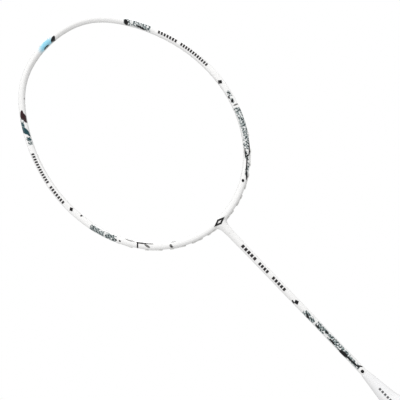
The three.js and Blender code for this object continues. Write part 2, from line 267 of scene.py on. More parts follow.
def hole_matrix(hole):
    """From a frame with +Z out of the hoop through the hole to the part's frame."""
    place = Matrix.Translation((hole["x"], 0, hoop_middle + hole["z"]))
    return place @ Matrix.Rotation(hole["lean"], 4, "Y")


def drills():
    cutter = bmesh.new()
    for side in (1, -1):
        for hole in holes_of_side(side):
            bmesh.ops.create_cone(
                cutter,
                cap_ends=True,
                segments=16,
                radius1=DRILL_RADIUS,
                radius2=DRILL_RADIUS,
                depth=DRILL_LENGTH,
                matrix=hole_matrix(hole),
            )
    mesh = bpy.data.meshes.new("drills")
    cutter.to_mesh(mesh)
    cutter.free()
    return new_object("drills", mesh)


def barrel_mesh(hole):
    """A flanged barrel, in its hole's frame, and the height of the seat that its flange lies on."""
    half = HOOP_HALF_WIDTH * float(width_share(hole["angle"]))
    seat = half - float(groove_depth(hole["angle"])) + 0.05 * MM
    bore, wall, flange = 0.8 * MM, 1.42 * MM, 2.2 * MM
    foot, top = -half - 0.2 * MM, seat + 0.95 * MM
    profile = [
        (bore, foot + 0.15 * MM),
        (bore + 0.15 * MM, foot),
        (wall - 0.2 * MM, foot),
        (wall, foot + 0.25 * MM),
        (wall, seat),
        (flange - 0.1 * MM, seat),
        (flange, seat + 0.15 * MM),
        (flange - 0.05 * MM, seat + 0.5 * MM),
        (flange - 0.4 * MM, top - 0.12 * MM),
        (flange - 0.8 * MM, top),
        (bore + 0.25 * MM, top - 0.04 * MM),
        (bore, top - 0.3 * MM),
    ]
    return turned_mesh("barrel", profile, 20), seat


# The section of the strip between two barrels: (height over the seat, depth) in mm.
STRIP_SECTION = [(0, -0.9), (0.35, -0.9), (0.5, -0.7), (0.5, 0.7), (0.35, 0.9), (0, 0.9)]


def grommet(name, pair):
    """Two barrels on a strip that lies along the groove's floor."""
    solids = []
    seats = []
    for hole in pair:
        mesh, seat = barrel_mesh(hole)
        mesh.transform(hole_matrix(hole))
        solids.append(new_object(name, mesh))
        seats.append(seat)
    first, last = pair[0]["angle"], pair[1]["angle"]
    rings = []
    for share in np.linspace(0.14, 0.86, 9):
        angle = first + (last - first) * share
        seat = seats[0] + (seats[1] - seats[0]) * share + 0.1 * MM
        x, z = hoop_point(angle)
        lean = float(hoop_lean(angle))
        ring = []
        for height, depth in STRIP_SECTION:
            out = seat + height * MM
            ring.append((x + out * math.sin(lean), depth * MM, hoop_middle + z + out * math.cos(lean)))
        rings.append(ring)
    strip = new_object("strip", grid_mesh("strip", rings, closed_ends=True))
    piece = solids[0]
    boolean(piece, solids[1], "UNION")
    boolean(piece, strip, "UNION")
    return piece


# ---- Throat ----
# Height over the neck's foot, half width and half depth, in mm.
NECK_STATIONS = [
    (0, 3.86, 3.86),
    (0.1, 3.96, 3.96),
    (0.3, 4.0, 4.0),
    (3, 4.1, 4.15),
    (6, 4.28, 4.3),
    (8, 4.6, 4.5),
    (9.4, 5.05, 4.65),
    (10.4, 5.6, 4.75),
    (11.2, 6.3, 4.85),
    (11.8, 7.1, 4.9),
    (12.3, 8.1, 4.9),
    (12.9, 9.4, 4.9),
    (13.8, 10.0, 4.8),
    (15, 10.0, 4.2),
]


def neck_mesh():
    """The sleeve below the hoop, oval in section, that flares where it runs into the hoop."""
    angles = angles_round(72)
    rings = []
    for rise, wide, deep in NECK_STATIONS:
        height = np.full(len(angles), head_low.z + rise * MM)
        rings.append(np.stack([wide * MM * np.cos(angles), deep * MM * np.sin(angles), height], axis=1))
    return grid_mesh("neck", rings, closed_ends=True)


# ---- Handle ----
WOOD_HALF_WIDTH = core_high.x
WOOD_HALF_DEPTH = core_high.y
WOOD_BEVEL = 5.4 * MM


def eight_sided(offset=0.0, power=26):
    """How far an eight-sided section with eased corners reaches, by angle. Its faces stand offset out from
    the bare wood's."""
    wide, deep = WOOD_HALF_WIDTH + offset, WOOD_HALF_DEPTH + offset
    bevel = WOOD_BEVEL + offset * (2 - math.sqrt(2))

    def reach(angles):
        c, s = np.abs(np.cos(angles)), np.abs(np.sin(angles))
        total = (c / wide) ** power + (s / deep) ** power + ((c + s) / (wide + deep - bevel)) ** power
        return total ** (-1 / power)

    return reach


CONE_TOP_RADIUS = 4 * MM
CONE_FLARE = 0.13  # radius gained for each millimetre down
CONE_WALL = 1.3  # mm
# How the lip thins out round the shaft: mm below its top, and mm out from the cone's own surface.
CONE_LIP = [(1.5, 0.0), (0.5, -0.02), (0.2, -0.06), (0.05, -0.12), (0, -0.2), (0.1, -0.3), (3, -0.38)]


def cone_mesh():
    """Eight-sided where it meets the grip, and round from there up."""
    angles = angles_round(96)
    flats = eight_sided()(angles)
    lip = cone_high.z
    blend_foot, blend_top = collar_high.z + 0.5 * MM, collar_high.z + 16.5 * MM

    def ring(height, offset):
        round_part = np.minimum(CONE_TOP_RADIUS + CONE_FLARE * (lip - height), WOOD_HALF_WIDTH)
        share = smoothstep(height, blend_foot, blend_top)
        return level_ring(angles, flats + (round_part - flats) * share + offset * MM, height)

    heights = np.concatenate([
        [cone_low.z],
        np.linspace(blend_foot - 1 * MM, blend_top, 24),
        np.linspace(blend_top, lip - 3.2 * MM, 10)[1:],
    ])
    rings = [ring(height, 0) for height in heights]
    rings += [ring(lip - drop * MM, offset) for drop, offset in CONE_LIP]
    rings.append(ring(blend_top, -CONE_WALL))
    rings.append(ring(cone_low.z, -CONE_WALL))
    return grid_mesh("cone", rings)


GRIP_PITCH = 23 * MM
GRIP_SWELL = 1.9 * MM  # how far the grip's outer face stands out from the wood
LAP_ROOM = 0.3 * MM  # how much of that is left for the laps
GRIP_FLARE = 2.5 * MM  # how much further out it stands at the cap
GRIP_FLARE_HEIGHT = 25 * MM  # how far up the flare dies out
LAP_HEIGHT = 0.18 * MM  # how far each turn stands up at its lower edge
TURN_CROWN = 0.12 * MM  # how far its middle is crowned
SEAM_DEPTH = 0.62 * MM
SEAM_WIDTH = 0.035  # as a share of the pitch


def grip_mesh():
    """The wound grip: each turn laps the one below it, so a soft step runs round the handle as a helix."""
    angles = angles_round(200)
    foot, top = grip_low.z, grip_high.z
    rings = []
    for height in np.linspace(foot, top, 420):
        flare = GRIP_FLARE * (1 - smoothstep(height, foot, foot + GRIP_FLARE_HEIGHT)) ** 1.3
        under_collar = smoothstep(height, collar_low.z - 1.0 * MM, collar_low.z - 0.2 * MM)
        base = eight_sided(GRIP_SWELL + flare, power=20)(angles) - LAP_ROOM
        turn = (height / GRIP_PITCH - angles / (2 * math.pi)) % 1
        lap = LAP_HEIGHT * np.exp(-turn / 0.3) + TURN_CROWN * np.sin(turn * math.pi)
        seam = SEAM_DEPTH * np.exp(-((np.minimum(turn, 1 - turn) / SEAM_WIDTH) ** 2))
        edge = smoothstep(height, foot, foot + 0.8 * MM)
        reach = base + lap - seam * edge - 0.7 * MM * under_collar - 0.35 * MM * (1 - edge)
        rings.append(level_ring(angles, reach, height))
    for offset, height in ((0.3, top), (0.3, cap_high.z + 2 * MM), (1.2, cap_high.z), (2.9, foot)):
        rings.append(level_ring(angles, eight_sided(offset * MM)(angles), height))
    return grid_mesh("grip", rings)


# Up the collar: share of its height, and mm out from its face. Its edges are eased.
COLLAR_PROFILE = [
    (0, -0.25),
    (0.015, -0.06),
    (0.05, 0),
    (0.3, 0.02),
    (0.6, -0.02),
    (0.86, 0),
    (0.95, -0.12),
    (1, -0.4),
]
TAPE_END = 1.2 * math.pi  # where round the collar the outer turn of tape ends
TAPE_THICKNESS = 0.14 * MM


def collar_mesh():
    """Two turns of tape: the outer turn's end makes a small step down one side."""
    angles = angles_round(160)
    foot, top = collar_low.z, collar_high.z
    outer = eight_sided(2.05 * MM, power=20)(angles)
    inner = eight_sided(1.6 * MM, power=20)(angles)
    end_step = TAPE_THICKNESS * smoothstep(np.abs(angles - TAPE_END), 0.1, 0.07)
    rings = []
    for share, offset in COLLAR_PROFILE:
        rings.append(level_ring(angles, outer + offset * MM + end_step, foot + (top - foot) * share))
    for height in (top, foot):
        rings.append(level_ring(angles, inner, height))
    return grid_mesh("collar", rings)


BADGE_GAP = 0.25 * MM
CAP_POCKET_FLOOR = 3.2 * MM  # the cap's inside, over the butt


def cap_mesh():
    rim, foot, top = grip_low.z - 0.3 * MM, cap_low.z, cap_high.z
    seat_radius = badge_high.x + BADGE_GAP
    angles = angles_round(120)

    def ring(offset, height):
        return level_ring(angles, eight_sided(offset * MM, power=22)(angles), height)

    rings = [
        level_ring(angles, seat_radius, foot + 0.9 * MM),
        level_ring(angles, seat_radius, foot + 0.15 * MM),
        level_ring(angles, seat_radius + 0.15 * MM, foot),
        ring(2.6, foot),
        ring(3.5, foot + 0.2 * MM),
        ring(4.1, foot + 0.65 * MM),
        ring(4.4, foot + 1.4 * MM),
        ring(4.4, rim - 0.35 * MM),
        ring(4.2, rim),
        ring(2.6, rim),
        ring(0.9, top),
        ring(0.3, top),
        ring(0.3, CAP_POCKET_FLOOR),
    ]
    return grid_mesh("cap", rings, closed_ends=True)


# Out across the badge: share of its radius, and mm over its lowest point.
BADGE_PROFILE = [
    (0.02, 0.0),
    (0.3, 0.02),
    (0.5, 0.05),
    (0.6, 0.08),
    (0.62, 0.2),
    (0.68, 0.2),
    (0.7, 0.1),
    (0.93, 0.14),
    (0.985, 0.2),
    (1, 0.32),
]


def badge_mesh():
    """A domed disc with a ring pressed into it."""
    foot, top, radius = badge_low.z, badge_high.z, badge_high.x
    profile = [(radius * share, foot + rise * MM) for share, rise in BADGE_PROFILE]
    profile += [(radius, top), (radius * BADGE_PROFILE[0][0], top)]
    return turned_mesh("badge", profile, 96, closed_ends=True)


# ---- Materials ----
class Graph:
    """Builds a material's nodes."""

    def __init__(self, name):
        self.material = bpy.data.materials.new(name)
        self.material.use_nodes = True
        self.nodes = self.material.node_tree.nodes
        self.links = self.material.node_tree.links
        self.shader = self.nodes["Principled BSDF"]

    def node(self, kind, **settings):
        made = self.nodes.new(kind)
        for key, value in settings.items():
            setattr(made, key, value)
        return made

    def feed(self, socket, value):
        if isinstance(value, bpy.types.NodeSocket):
            self.links.new(value, socket)
        else:
            socket.default_value = value

    def math(self, operation, a, b=0.0, c=0.0):
        made = self.node("ShaderNodeMath", operation=operation)
        for socket, value in zip(made.inputs, (a, b, c)):
            self.feed(socket, value)
        return made.outputs[0]

    def in_mm(self, value):
        return self.math("MULTIPLY", value, 1 / MM)

    def length(self, a, b):
        """Of a vector with these two parts."""
        return self.math("SQRT", self.math("ADD", self.math("MULTIPLY", a, a), self.math("MULTIPLY", b, b)))

    def place(self):
        """The object's own coordinates, as x, y and z."""
        split = self.node("ShaderNodeSeparateXYZ")
        self.feed(split.inputs[0], self.node("ShaderNodeTexCoord").outputs["Object"])
        return split.outputs

    def scaled_place(self, x=1.0, y=1.0, z=1.0):
        mapping = self.node("ShaderNodeMapping")
        self.feed(mapping.inputs["Vector"], self.node("ShaderNodeTexCoord").outputs["Object"])
        mapping.inputs["Scale"].default_value = (x, y, z)
        return mapping.outputs[0]

    def noise(self, scale, detail=3.0, roughness=0.5, vector=None):
        made = self.node("ShaderNodeTexNoise")
        made.inputs["Scale"].default_value = scale
        made.inputs["Detail"].default_value = detail
        made.inputs["Roughness"].default_value = roughness
        self.feed(made.inputs["Vector"], self.scaled_place() if vector is None else vector)
        return made.outputs["Fac"]

    def ramp(self, value, low, high, out_low=0.0, out_high=1.0):
        made = self.node("ShaderNodeMapRange", interpolation_type="SMOOTHSTEP")
        self.feed(made.inputs["Value"], value)
        self.feed(made.inputs["From Min"], low)
        self.feed(made.inputs["From Max"], high)
        self.feed(made.inputs["To Min"], out_low)
        self.feed(made.inputs["To Max"], out_high)
        return made.outputs[0]

    def uneven(self, scale, low, high, vector=None):
        """A value that wanders between two limits."""
        return self.ramp(self.noise(scale, vector=vector), 0.3, 0.7, low, high)

    def mix(self, share, a, b):
        made = self.node("ShaderNodeMix", data_type="RGBA")
        self.feed(made.inputs["Factor"], share)
        for socket, value in ((made.inputs[6], a), (made.inputs[7], b)):
            self.feed(socket, value if isinstance(value, bpy.types.NodeSocket) else (*value, 1.0))
        return made.outputs[2]

    def bump(self, height, strength, distance):
        made = self.node("ShaderNodeBump")
        made.inputs["Strength"].default_value = strength
        made.inputs["Distance"].default_value = distance
        self.feed(made.inputs["Height"], height)
        self.feed(self.shader.inputs["Normal"], made.outputs[0])

    def vector(self, x, y):
        joined = self.node("ShaderNodeCombineXYZ")
        self.feed(joined.inputs["X"], x)
        self.feed(joined.inputs["Y"], y)
        return joined.outputs[0]

    def largest(self, values):
        total = values[0]
        for value in values[1:]:
            total = self.math("MAXIMUM", total, value)
        return total

    def window(self, value, low, high, edge=0.4):
        """1 between low and high, with soft edges."""
        inside = self.math("ABSOLUTE", self.math("SUBTRACT", value, (low + high) / 2))
        half = (high - low) / 2
        return self.ramp(inside, half - edge / 2, half + edge / 2, 1.0, 0.0)

    def spot(self, plane, place, size, tilt=0, kind="oval", soft=0.12):
        """1 inside one small print on a plane in mm: its middle, half its length and height, and its tilt in
        degrees. It is an oval, a diamond or a bar."""
        local = self.node("ShaderNodeMapping", vector_type="TEXTURE")
        self.feed(local.inputs["Vector"], plane)
        local.inputs["Location"].default_value = (*place, 0)
        local.inputs["Rotation"].default_value = (0, 0, math.radians(tilt))
        local.inputs["Scale"].default_value = (*size, 1)
        if kind == "oval":
            length = self.node("ShaderNodeVectorMath", operation="LENGTH")
            self.feed(length.inputs[0], local.outputs[0])
            reach = length.outputs["Value"]
        else:
            split = self.node("ShaderNodeSeparateXYZ")
            self.feed(split.inputs[0], local.outputs[0])
            across, up = (self.math("ABSOLUTE", split.outputs[i]) for i in (0, 1))
            reach = self.math("ADD" if kind == "diamond" else "MAXIMUM", across, up)
        return self.ramp(reach, 1 - soft, 1 + soft, 1.0, 0.0)

    def dashes(self, along, across, rows, middle, half_height, fill):
        """Rows of plain dashes: each row is its start and end in mm, and how many dashes it has."""
        height = self.window(across, middle - half_height, middle + half_height)
        made = []
        for start, end, count in rows:
            share = self.math("DIVIDE", self.math("SUBTRACT", along, start), (end - start) / count)
            from_middle = self.math("ABSOLUTE", self.math("SUBTRACT", self.math("FRACT", share), 0.5))
            dash = self.ramp(from_middle, fill / 2 - 0.05, fill / 2 + 0.05, 1.0, 0.0)
            made.append(self.math("MULTIPLY", dash, self.window(along, start, end, 0.3)))
        return self.math("MULTIPLY", self.largest(made), height)

    def plumes(self, along, across, areas, period, fullness):
        """Feathery prints inside areas, each (start, end, low, high) in mm and how far its strokes lean: a
        mask of their ground and one of the dark strokes on it."""
        plane = self.vector(along, across)
        ragged = self.math("MULTIPLY", self.math("SUBTRACT", self.noise(0.55, vector=plane), 0.5), 3.2)
        u, v = self.math("ADD", along, ragged), self.math("ADD", across, ragged)
        grounds, strokes = [], []
        for start, end, low, high, lean in areas:
            area = self.math("MULTIPLY", self.window(u, start, end, 1.2), self.window(v, low, high, 0.8))
            grounds.append(area)
            phase = self.math("DIVIDE", self.math("ADD", u, self.math("MULTIPLY", v, lean)), period)
            wave = self.math("SINE", self.math("MULTIPLY", phase, 2 * math.pi))
            strokes.append(self.math("MULTIPLY", area, self.ramp(wave, -0.3 - fullness, 0.3 - fullness)))
        gaps = self.ramp(self.noise(0.5, detail=2, vector=plane), 0.4 - fullness / 4, 0.5 - fullness / 4)
        ground, dark = (self.math("MULTIPLY", self.largest(masks), gaps) for masks in (grounds, strokes))
        return ground, dark

    def set(self, **inputs):
        for key, value in inputs.items():
            socket = self.shader.inputs[key.replace("_", " ")]
            if isinstance(value, tuple):
                value = (*value, 1.0)
            self.feed(socket, value)


BLACK = (0.006, 0.006, 0.007)
DEEP_BLACK = (0.02, 0.018, 0.019)
SOFT_BLACK = (0.03, 0.027, 0.028)
MAROON = (0.03, 0.008, 0.011)
TEAL = (0.012, 0.06, 0.075)
GREY_TEAL = (0.13, 0.2, 0.2)
DARK_TEAL = (0.031, 0.047, 0.05)
CYAN = (0.3, 0.66, 0.82)
SMOKE = (0.16, 0.16, 0.155)
GREY = (0.12, 0.12, 0.125)
WARM_WHITE = (0.8, 0.79, 0.78)


def printed(g, base, inks):
    """The base colour under its inks. inks(g) gives (mask, colour) pairs, from the lowest print up."""
    for mask, colour in inks(g):
        base = g.mix(mask, base, colour)
    return base


def lacquer(name, inks, tone):
    """White gloss lacquer."""
    g = Graph(name)
    dim = tuple(tone * channel for channel in (0.86, 0.857, 0.85))
    bright = tuple(tone * channel for channel in (0.9, 0.897, 0.892))
    base = g.mix(g.noise(60, detail=2), dim, bright)
    g.set(Base_Color=printed(g, base, inks), Roughness=g.uneven(300, 0.22, 0.28))
    g.set(Coat_Weight=0.25, Coat_Roughness=0.06, Specular_IOR_Level=0.35)
    g.bump(g.noise(250, detail=1), 0.02, 0.0001)
    return g.material


ALONG_PACE = 111.0  # mm of hoop to a radian, on the average
ALONG_BEND = 5.6  # how far the true length runs ahead or behind that, as the oval's two axes differ
# Prints run round the tube's edges to this many mm from the middle of its depth.
PRINT_EDGE_INSIDE = 1.0
PRINT_EDGE_OUTSIDE = 2.0  # by the groove


def hoop_plane(g):
    """Print coordinates on the hoop, in mm: along it from the top of the head (positive on the +X side), and
    out from its centreline. Also a mask that keeps prints off the walls."""
    x, y, z = g.place()
    height = g.math("DIVIDE", g.math("SUBTRACT", z, hoop_middle), hoop_a)
    shoulder = g.math("POWER", g.math("MAXIMUM", height, 0.0), SHOULDER_POWER)
    share = g.math("MULTIPLY_ADD", height, -HOOP_EGG, g.math("MULTIPLY_ADD", shoulder, HOOP_SHOULDER, 1.0))
    across = g.math("DIVIDE", x, g.math("MULTIPLY", share, hoop_b))
    angle = g.math("ARCTAN2", across, height)
    wide = g.math("MULTIPLY", g.math("COSINE", angle), g.math("MULTIPLY", share, hoop_b))
    tall = g.math("MULTIPLY", g.math("SINE", angle), hoop_a)
    scale = g.math("DIVIDE", g.math("MULTIPLY", share, hoop_a * hoop_b), g.length(wide, tall))
    out = g.in_mm(g.math("MULTIPLY", g.math("SUBTRACT", g.length(across, height), 1.0), scale))
    bend = g.math("MULTIPLY", g.math("SINE", g.math("MULTIPLY", angle, 2.0)), -ALONG_BEND)
    along = g.math("MULTIPLY_ADD", angle, ALONG_PACE, bend)
    edge = g.ramp(out, 1.0, 2.4, PRINT_EDGE_INSIDE, PRINT_EDGE_OUTSIDE)
    on_face = g.ramp(g.in_mm(g.math("ABSOLUTE", y)), edge, g.math("ADD", edge, 0.4))
    return along, out, on_face


# Feathery prints on the hoop, for plumes().
DENSE_PLUMES = [
    (83.8, 91, -2.8, 5.0, 0.2),
    (-229, -213.5, -1.9, 3.4, 1.0),
    (-242, -230.5, -2.4, 3.8, 1.0),
]
LOOSE_PLUMES = [
    (92, 112.5, -2.7, 5.0, 0.9),
    (211, 217, -1.6, 1.6, 1.2),
    (219.5, 224.5, -1.9, 0.9, 1.2),
    (229.5, 250, -2.4, 3.2, 0.5),
    (250.5, 263, -2.0, 3.8, 1.0),
    (263, 272, -2.6, 3.4, -1.1),
    (274, 283, -1.2, 2.2, -1.1),
    (285, 297, 0.0, 2.8, -1.0),
    (-97, -85.5, -0.4, 5.5, 0.8),
    (-112.5, -104, -2.9, 1.0, -1.3),
]
# Rows of dashes: start, end and count, and where their middle is across the hoop.
HOOP_DASHES = [(119.8, 141.2, 7), (144.8, 179, 12), (-154.3, -120.8, 12), (-179.3, -157.5, 7)]
HOOP_DASHES_OUT = 0.3
# Small prints on the hoop, for spot(), by ink.
HOOP_SPOTS = {
    TEAL: [
        ((-97.5, 0.5), (4.6, 2.8), 35),
        ((-91.3, 1.4), (2.5, 1.4), 35),
        ((-100.8, -1.9), (3.0, 1.2), 25),
        ((-3.6, -3.0), (3.2, 0.8), 0),
        ((-106.3, -1.5), (1.7, 1.3), 30),
    ],
    MAROON: [
        ((-83.8, -1.7), (5.2, 1.9), 8),
        ((-81.0, 0.2), (5.1, 1.6), -8),
        ((-62.5, -3.0), (1.4, 0.45), 0),
    ],
    SMOKE: [
        ((-273.5, -0.1), (3.0, 1.2), -30),
        ((-256, -2.7), (5.5, 0.6), -3),
        ((-277, -2.4), (3.5, 0.6), 0),
        ((-296.5, 0.6), (1.4, 1.6), 0),
        ((-300, -2.9), (3.0, 0.5), 0),
        ((226.6, 0.6), (0.8, 2.6), 10),
    ],
    BLACK: [
        ((86.4, -0.7), (2.3, 2.6), 0),
        ((102, -1.9), (5.0, 0.9), -8),
        ((199.5, -0.9), (2.6, 2.5), 20, "diamond"),
        ((-188.5, -0.8), (2.4, 2.2), -20, "diamond"),
        ((-200.5, -2.9), (1.5, 1.0), 60),
        ((213.5, 0.2), (1.4, 0.7), 30),
        ((217.5, -1.9), (1.6, 0.9), 0),
        ((222, -0.8), (1.9, 1.3), -40),
        ((268, 3.0), (10.0, 0.8), -4),
        ((286, 0.5), (11.5, 0.7), 2),
        ((298, 2.3), (4.0, 0.9), 18),
        ((276, -1.5), (5.0, 0.7), 3),
        ((278, 1.2), (1.3, 0.6), -30),
        ((303, -0.2), (1.5, 1.4), 0),
        ((-264, 0.3), (0.75, 3.2), -4, "bar"),
        ((-268.5, -2.3), (6.0, 0.8), 2),
        ((-297, 1.9), (1.4, 0.7), 0),
        ((-246, 0.6), (1.1, 0.8), 0),
        ((-242, 0.9), (1.2, 0.8), 0),
    ],
}


def hoop_inks(g):
    along, out, on_face = hoop_plane(g)
    plane = g.vector(along, out)
    dense_ground, dense_strokes = g.plumes(along, out, DENSE_PLUMES, 3.4, 0.15)
    loose_ground, loose_strokes = g.plumes(along, out, LOOSE_PLUMES, 3.1, 0.05)
    ground = g.math("MULTIPLY", g.largest([dense_ground, loose_ground]), 0.7)
    top_patch = g.spot(plane, (-2.5, -2.0), (7.4, 5.0), soft=0.45)
    on_faces = [
        (top_patch, CYAN),
        (ground, GREY_TEAL),
        (g.largest([dense_strokes, loose_strokes]), DARK_TEAL),
    ]
    for ink, rows in HOOP_SPOTS.items():
        on_faces.append((g.largest([g.spot(plane, *row) for row in rows]), ink))
    on_faces.append((g.dashes(along, out, HOOP_DASHES, HOOP_DASHES_OUT, 1.55, 0.68), SOFT_BLACK))

    # A plain lozenge with an eye, where the hoop meets the shaft.
    x, _, z = g.place()
    throat = g.vector(g.in_mm(x), g.in_mm(g.math("SUBTRACT", z, throat_centre)))
    on_faces.append((g.spot(throat, (0, -0.65), (7.4, 3.0), kind="diamond"), BLACK))
    on_faces.append((g.spot(throat, (0, -0.65), (2.6, 1.0), kind="diamond"), WARM_WHITE))

    top_mark = g.spot(plane, (5.7, -1.9), (3.3, 1.7), 30)  # it runs on round the inside
    return [(g.math("MULTIPLY", mask, on_face), ink) for mask, ink in on_faces] + [(top_mark, BLACK)]


SHAFT_PLUMES = [
    (116.5, 131, -3.8, 1.6, 1.0),
    (133.5, 145.5, -3.6, 2.9, 0.7),
    (145, 152, -0.6, 2.9, 1.4),
    (151, 179, -3.2, 2.9, -0.8),
    (176, 193, -2.8, 1.6, 0.6),
]
SHAFT_DASHES = [(28.3, 49, 5), (52.3, 66.2, 4), (71.4, 90.2, 5)]
SHAFT_SPOTS = [
    ((105.5, 0), (2.8, 2.6), -25, "diamond"),
    ((102.9, -2.5), (2.2, 1.1), -20),
    ((172.5, -2.3), (5.0, 2.6), 10),
    ((184, -0.9), (9.0, 1.0), 4),
    ((192, 1.3), (3.6, 0.8), 40),
    ((197.5, -0.4), (1.8, 1.7), 0),
    ((122.5, -1.6), (3.2, 1.2), -25),
    ((136.5, -1.8), (3.0, 1.0), 10),
    ((147, 1.0), (2.5, 0.9), 0),
    ((157, -1.8), (4.0, 1.0), -10),
]


def shaft_inks(g):
    """Prints down the shaft, in mm below the throat and round from the middle of the face."""
    x, y, z = g.place()
    below = g.in_mm(g.math("SUBTRACT", throat_outside, z))
    round_face = g.math("MULTIPLY", g.math("ARCTAN2", x, g.math("ABSOLUTE", y)), SHAFT_RADIUS / MM)
    plane = g.vector(below, round_face)
    ground, strokes = g.plumes(below, round_face, SHAFT_PLUMES, 3.3, 0.05)
    return [
        (g.math("MULTIPLY", ground, 0.85), GREY_TEAL),
        (strokes, DARK_TEAL),
        (g.dashes(below, round_face, SHAFT_DASHES, 0.0, 1.65, 0.71), DEEP_BLACK),
        (g.largest([g.spot(plane, *row) for row in SHAFT_SPOTS]), BLACK),
    ]


def cone_inks(g):
    """A row of dashes down the cone's front and back."""
    x, _, z = g.place()
    down = g.in_mm(g.math("SUBTRACT", cone_high.z, z))
    return [(g.dashes(down, g.in_mm(x), [(18.6, 43.1, 7)], 0.0, 1.15, 0.66), GREY)]


def no_inks(g):
    return []


def gloss_plastic(name, dark, light, inks=no_inks):
    g = Graph(name)
    base = g.mix(g.noise(80, detail=2), dark, light)
    g.set(Base_Color=printed(g, base, inks), Roughness=g.uneven(1200, 0.2, 0.28))
    g.set(Coat_Weight=0.3, Coat_Roughness=0.1)
    g.bump(g.noise(1500, detail=2), 0.05, 0.0001)
    return g.material


def nylon():
    g = Graph("nylon")
    g.set(Base_Color=g.mix(g.noise(900), (0.72, 0.72, 0.7), (0.82, 0.82, 0.8)))
    g.set(Roughness=g.uneven(2500, 0.36, 0.48))
    g.bump(g.noise(3000), 0.1, 0.0001)
    return g.material


PRICKS_ACROSS = 5  # rows of the grip's small air holes across one turn
PRICKS_ROUND = 17  # and round the grip
PRICK_REACH = 0.12  # their radius, as a share of the lattice's cell


def grip_pricks(g, turn, angle_share):
    """1 in the grip's air holes, which stand in a diamond lattice that winds with the grip."""
    across = g.math("MULTIPLY", turn, PRICKS_ACROSS)
    round_grip = g.math("MULTIPLY", angle_share, PRICKS_ROUND)
    offsets = []
    for operation in ("ADD", "SUBTRACT"):
        cell = g.math("FRACT", g.math(operation, across, round_grip))
        offsets.append(g.math("SUBTRACT", cell, 0.5))
    return g.ramp(g.length(*offsets), PRICK_REACH * 0.8, PRICK_REACH * 1.25, 1.0, 0.0)


def grip_skin():
    g = Graph("grip_skin")
    x, y, z = g.place()
    angle_share = g.math("DIVIDE", g.math("ARCTAN2", y, x), 2 * math.pi)
    turn = g.math("FRACT", g.math("SUBTRACT", g.math("DIVIDE", z, GRIP_PITCH), angle_share))
    seam = g.math("MINIMUM", turn, g.math("SUBTRACT", 1.0, turn))
    pricks = g.math("MULTIPLY", grip_pricks(g, turn, angle_share), g.ramp(seam, 0.1, 0.14))
    tone = g.mix(g.noise(300, detail=4), (0.74, 0.735, 0.72), (0.84, 0.835, 0.82))
    # painted shade: the air holes are darkened to stand in for the shade inside them
    tone = g.mix(pricks, tone, (0.3, 0.295, 0.285))
    g.set(Base_Color=g.mix(g.ramp(seam, 0.0, 0.09), (0.52, 0.515, 0.5), tone))  # painted shade: darker down in the seam's groove between turns
    g.set(Roughness=g.uneven(900, 0.55, 0.7), Sheen_Weight=0.15)
    pebbles = g.node("ShaderNodeTexVoronoi")
    pebbles.inputs["Scale"].default_value = 900
    g.feed(pebbles.inputs["Vector"], g.scaled_place())
    skin = g.math("ADD", pebbles.outputs["Distance"], g.noise(2000))
    g.bump(g.math("MULTIPLY_ADD", pricks, -1.5, skin), 0.25, 0.0003)
    return g.material


def tape():
    g = Graph("collar_tape")
    g.set(Base_Color=g.mix(g.noise(400), (0.018, 0.021, 0.023), (0.035, 0.04, 0.043)))
    g.set(Roughness=g.uneven(500, 0.3, 0.45, vector=g.scaled_place(1, 1, 6)))
    g.bump(g.noise(220, detail=5), 0.25, 0.0003)
    return g.material


FOIL_RINGS = 9000  # radians of their wave to a metre


def foil():
    """Plain rings of two dark teals."""
    g = Graph("badge_foil")
    x, y, _ = g.place()
    rings = g.math("SINE", g.math("MULTIPLY", g.length(x, y), FOIL_RINGS))
    g.set(Base_Color=g.mix(g.ramp(rings, -0.3, 0.3), (0.03, 0.09, 0.1), (0.08, 0.2, 0.22)))
    g.set(Roughness=0.28, Metallic=0.4)
    g.bump(g.noise(1500), 0.08, 0.0001)
    return g.material


def wood():
    g = Graph("handle_wood")
    rings = g.node("ShaderNodeTexWave", wave_type="RINGS", rings_direction="Z")
    rings.inputs["Scale"].default_value = 260
    rings.inputs["Distortion"].default_value = 4
    g.feed(rings.inputs["Vector"], g.scaled_place(1, 1, 0.05))
    g.set(Base_Color=g.mix(rings.outputs["Fac"], (0.42, 0.26, 0.12), (0.62, 0.43, 0.23)))
    g.set(Roughness=g.uneven(800, 0.55, 0.75))
    g.bump(g.noise(900, vector=g.scaled_place(1, 1, 0.1)), 0.3, 0.0003)
    return g.material


def resin():
    g = Graph("throat_resin")
    g.set(Base_Color=g.mix(g.noise(500), (0.035, 0.035, 0.04), (0.06, 0.06, 0.065)))
    g.set(Roughness=g.uneven(900, 0.5, 0.7))
    return g.material


def steel():
    g = Graph("staple_steel")
    g.set(Base_Color=g.mix(g.noise(900), (0.5, 0.51, 0.53), (0.65, 0.66, 0.68)))
    g.set(Roughness=g.uneven(2000, 0.25, 0.4), Metallic=1.0)
    return g.material


FLOOR_REACH = 1.0  # metres from the racket to where the floor has faded into the studio round it
FLOOR_FADES_FROM = 0.3


def floor_paper():
    """Pale grey, and fainter towards its rim, where the studio shows through."""
    g = Graph("floor_paper")
    x, y, _ = g.place()
    g.set(Base_Color=g.mix(g.noise(40), (0.52, 0.52, 0.52), (0.54, 0.54, 0.54)))
    g.set(Roughness=g.uneven(60, 0.7, 0.8), Specular_IOR_Level=0.1)
    g.set(Alpha=g.ramp(g.length(x, y), FLOOR_FADES_FROM, FLOOR_REACH, 1.0, 0.0))
    return g.material


# ---- Assembly ----
def add(name, shape, nodes, material, sharp_angle=40):
    """Puts a finished shape, an object or a mesh, in the place of its CAD nodes."""
    piece = new_object(name, shape, sharp_angle) if isinstance(shape, bpy.types.Mesh) else shape
    piece.name = name
    piece.data.name = name
    piece.data.materials.clear()
    piece.data.materials.append(material)
    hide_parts(*nodes)
    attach(piece, "root")
    return piece


